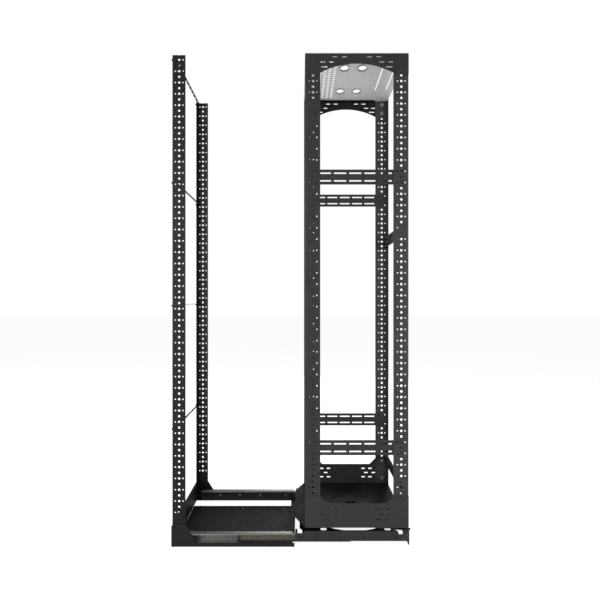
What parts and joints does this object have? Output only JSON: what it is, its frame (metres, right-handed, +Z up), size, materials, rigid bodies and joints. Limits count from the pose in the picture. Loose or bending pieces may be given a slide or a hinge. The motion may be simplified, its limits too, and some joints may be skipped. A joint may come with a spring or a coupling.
{
  "type": "slide-out rotating equipment rack",
  "caption": "Open-frame equipment rack that pulls out of a cabinet on telescopic slides and turns on a centre bearing, with a fixed base and perforated back posts.",
  "frame": {"origin": "centre of the base floor pan's underside, on the cabinet floor", "axes": "+X the way the rack is pulled out, +Y to the far side, +Z up"},
  "size_m": [0.9422, 0.52, 1.942],
  "materials": {
    "black_coat": "satin black powder coat",
    "panel_coat": "satin black powder coat, smoother",
    "zinc": "zinc-plated steel",
    "steel": "bright turned steel",
    "cage_brass": "plain pressed brass"
  },
  "bodies": {
    "fixed_base": {"floor_pan": "black_coat", "side_panel_near": "black_coat", "side_panel_far": "black_coat", "back_plate": "black_coat", "front_sill": "black_coat", "slide_rail_near": "black_coat", "slide_rail_far": "black_coat", "slide_outer_near": "zinc", "slide_outer_far": "zinc", "back_post_near": "black_coat", "back_post_far": "black_coat", "lacing_strip_1": "black_coat", "lacing_strip_2": "black_coat", "lacing_strip_3": "black_coat", "lacing_strip_4": "black_coat"},
    "slide_middle": {"slide_middle_near": "zinc", "slide_middle_far": "zinc"},
    "carriage": {"carriage_beam_near": "black_coat", "carriage_beam_far": "black_coat", "slide_inner_near": "zinc", "slide_inner_far": "zinc", "carriage_pan": "black_coat", "pivot_bridge": "black_coat", "front_skirt": "black_coat", "bearing_lower_ring": "steel", "lever_pivot_post": "zinc", "lock_pin_guide": "zinc"},
    "ball_cage": {"bearing_ball_cage": "cage_brass"},
    "rack": {"rack_floor_plate": "black_coat", "bearing_upper_ring": "steel", "pivot_bolt": "steel", "pivot_nut": "zinc", "rack_post_near_back": "black_coat", "rack_post_near_front": "black_coat", "rack_post_far_back": "black_coat", "rack_post_far_front": "black_coat", "bottom_plate_near": "black_coat", "bottom_plate_far": "black_coat", "top_plate_near": "black_coat", "top_plate_far": "black_coat", "top_panel": "panel_coat", "lacing_bar_near_upper": "black_coat", "lacing_bar_near_lower": "black_coat", "lacing_bar_far_upper": "black_coat", "lacing_bar_far_lower": "black_coat", "cross_bar_upper": "black_coat", "cross_bar_lower": "black_coat"},
    "lock_lever": {"lock_lever": "black_coat"},
    "lock_pin": {"lock_pin": "steel"}
  },
  "joints": [
    {"name": "carriage_slide", "type": "slide", "parent": "fixed_base", "child": "carriage", "axis": [1, 0, 0], "range_m": [-0.446, 0]},
    {"name": "slide_middle_travel", "type": "slide", "parent": "fixed_base", "child": "slide_middle", "axis": [1, 0, 0], "range_m": [-0.223, 0]},
    {"name": "rack_rotation", "type": "hinge", "parent": "carriage", "child": "rack", "pos_m": [0.4871, 0, 0.0743], "axis": [0, 0, 1], "range_deg": [-90, 90]},
    {"name": "ball_cage_turn", "type": "hinge", "parent": "carriage", "child": "ball_cage", "pos_m": [0.4871, 0, 0.049], "axis": [0, 0, 1], "range_deg": [-45, 45]},
    {"name": "lock_lever_swing", "type": "hinge", "parent": "carriage", "child": "lock_lever", "pos_m": [0.6354, -0.228, 0.064], "axis": [0, 0, 1], "range_deg": [-20, 0]},
    {"name": "lock_pin_lift", "type": "slide", "parent": "carriage", "child": "lock_pin", "axis": [0, 0, 1], "range_m": [0, 0.006]}
  ],
  "couplings": [
    {"joint": "slide_middle_travel", "follows": "carriage_slide", "ratio": 0.5},
    {"joint": "ball_cage_turn", "follows": "rack_rotation", "ratio": 0.5},
    {"joint": "lock_pin_lift", "follows": "lock_lever_swing", "m_per_rad": -0.01718}
  ]
}
